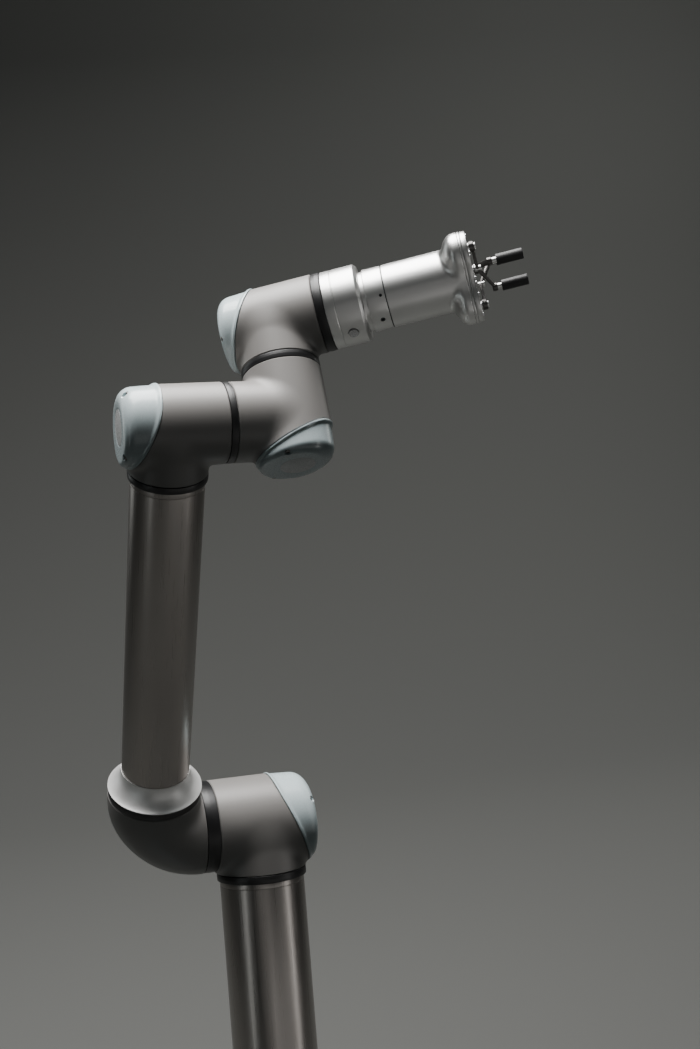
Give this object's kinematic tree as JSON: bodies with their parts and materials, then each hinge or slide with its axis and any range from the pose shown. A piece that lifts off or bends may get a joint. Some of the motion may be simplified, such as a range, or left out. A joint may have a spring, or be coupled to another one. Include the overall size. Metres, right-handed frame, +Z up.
{
  "type": "collaborative robot arm",
  "caption": "Jointed collaborative robot arm with round T-shaped joint housings, slanted end caps, two long tubes and a small three-finger gripper.",
  "frame": {"origin": "centre of the flat mounting face under the base", "axes": "+Z up along the base joint axis; +X along the shoulder, elbow and first wrist joint axes, towards the upper arm"},
  "size_m": [0.5375, 0.31, 1.5234],
  "materials": {
    "housing_metal": "satin cast aluminium with a thin clear coat",
    "cap_plastic": "smooth pale blue-grey moulded plastic",
    "seal_rubber": "black, slightly shiny",
    "tube_metal": "anodised, brushed lengthwise",
    "bright_metal": "machined, satin",
    "dark_metal": "blackened steel",
    "pad_rubber": "matt black",
    "steel": "machined",
    "board": "green circuit board"
  },
  "bodies": {
    "base": {"base_flange": "housing_metal", "cable_gland": "dark_metal", "pan_output_hub": "steel"},
    "shoulder": {"pan_housing": "housing_metal", "pan_cap": "cap_plastic", "pan_seal": "seal_rubber", "pan_drive": "steel", "pan_board": "board", "lift_output_hub": "steel"},
    "upper_arm": {"lift_housing": "housing_metal", "lift_cap": "cap_plastic", "lift_seal": "seal_rubber", "lift_drive": "steel", "lift_board": "board", "upper_arm_foot_seal": "seal_rubber", "upper_arm_collar": "bright_metal", "upper_arm_tube": "tube_metal", "upper_arm_head_seal": "seal_rubber", "elbow_housing": "housing_metal", "elbow_cap": "cap_plastic", "elbow_seal": "seal_rubber", "elbow_drive": "steel", "elbow_board": "board"},
    "forearm": {"elbow_output_hub": "steel", "elbow_bend": "housing_metal", "forearm_foot_seal": "seal_rubber", "forearm_collar": "bright_metal", "forearm_tube": "tube_metal", "forearm_head_seal": "seal_rubber", "wrist_1_housing": "housing_metal", "wrist_1_cap": "cap_plastic", "wrist_1_seal": "seal_rubber", "wrist_1_drive": "steel", "wrist_1_board": "board"},
    "wrist_1": {"wrist_1_output_hub": "steel", "wrist_2_housing": "housing_metal", "wrist_2_cap": "cap_plastic", "wrist_2_seal": "seal_rubber", "wrist_2_drive": "steel", "wrist_2_board": "board"},
    "wrist_2": {"wrist_2_output_hub": "steel", "wrist_3_housing": "housing_metal", "wrist_3_cap": "cap_plastic", "wrist_3_seal": "seal_rubber", "wrist_3_drive": "steel", "wrist_3_board": "board"},
    "tool": {"tool_flange": "bright_metal", "tool_connector": "steel", "gripper_adapter": "bright_metal", "gripper_body": "bright_metal", "gripper_spacer": "bright_metal", "gripper_front_plate": "bright_metal", "gripper_motor": "steel", "gripper_board": "board"},
    "finger_a": {"finger_a_crank": "dark_metal", "finger_a_pad": "pad_rubber"},
    "finger_b": {"finger_b_crank": "dark_metal", "finger_b_pad": "pad_rubber"},
    "finger_c": {"finger_c_crank": "dark_metal", "finger_c_pad": "pad_rubber"}
  },
  "joints": [
    {"name": "base_joint", "type": "hinge", "parent": "base", "child": "shoulder", "pos_m": [0, 0, 0.1807], "axis": [0, 0, 1], "range_deg": [-360, 360]},
    {"name": "shoulder_joint", "type": "hinge", "parent": "shoulder", "child": "upper_arm", "pos_m": [0.176, 0, 0.1807], "axis": [1, 0, 0], "range_deg": [-75, 105]},
    {"name": "elbow_joint", "type": "hinge", "parent": "upper_arm", "child": "forearm", "pos_m": [0.039, 0.15579, 0.77326], "axis": [-1, 0, 0], "range_deg": [-127.6, 192.4]},
    {"name": "wrist_1_joint", "type": "hinge", "parent": "forearm", "child": "wrist_1", "pos_m": [0.174, -0.01751, 1.31791], "axis": [1, 0, 0], "range_deg": [-360, 360]},
    {"name": "wrist_2_joint", "type": "hinge", "parent": "wrist_1", "child": "wrist_2", "pos_m": [0.174, 0.04937, 1.41736], "axis": [0, 0.558, 0.8298], "range_deg": [-360, 360]},
    {"name": "wrist_3_joint", "type": "hinge", "parent": "wrist_2", "child": "tool", "pos_m": [0.174, 0.04937, 1.41736], "axis": [0.8963, -0.3681, 0.2475], "range_deg": [-360, 360]},
    {"name": "finger_a_joint", "type": "hinge", "parent": "tool", "child": "finger_a", "pos_m": [0.3687, -0.05445, 1.50537], "axis": [-0.8963, 0.3681, -0.2475], "range_deg": [0, 40]},
    {"name": "finger_b_joint", "type": "hinge", "parent": "tool", "child": "finger_b", "pos_m": [0.38611, -0.05475, 1.44189], "axis": [-0.8963, 0.3681, -0.2475], "range_deg": [0, 40]},
    {"name": "finger_c_joint", "type": "hinge", "parent": "tool", "child": "finger_c", "pos_m": [0.3977, -0.0016, 1.47895], "axis": [-0.8963, 0.3681, -0.2475], "range_deg": [0, 40]}
  ],
  "couplings": [
    {"joint": "finger_b_joint", "follows": "finger_a_joint", "ratio": 1},
    {"joint": "finger_c_joint", "follows": "finger_a_joint", "ratio": 1}
  ]
}
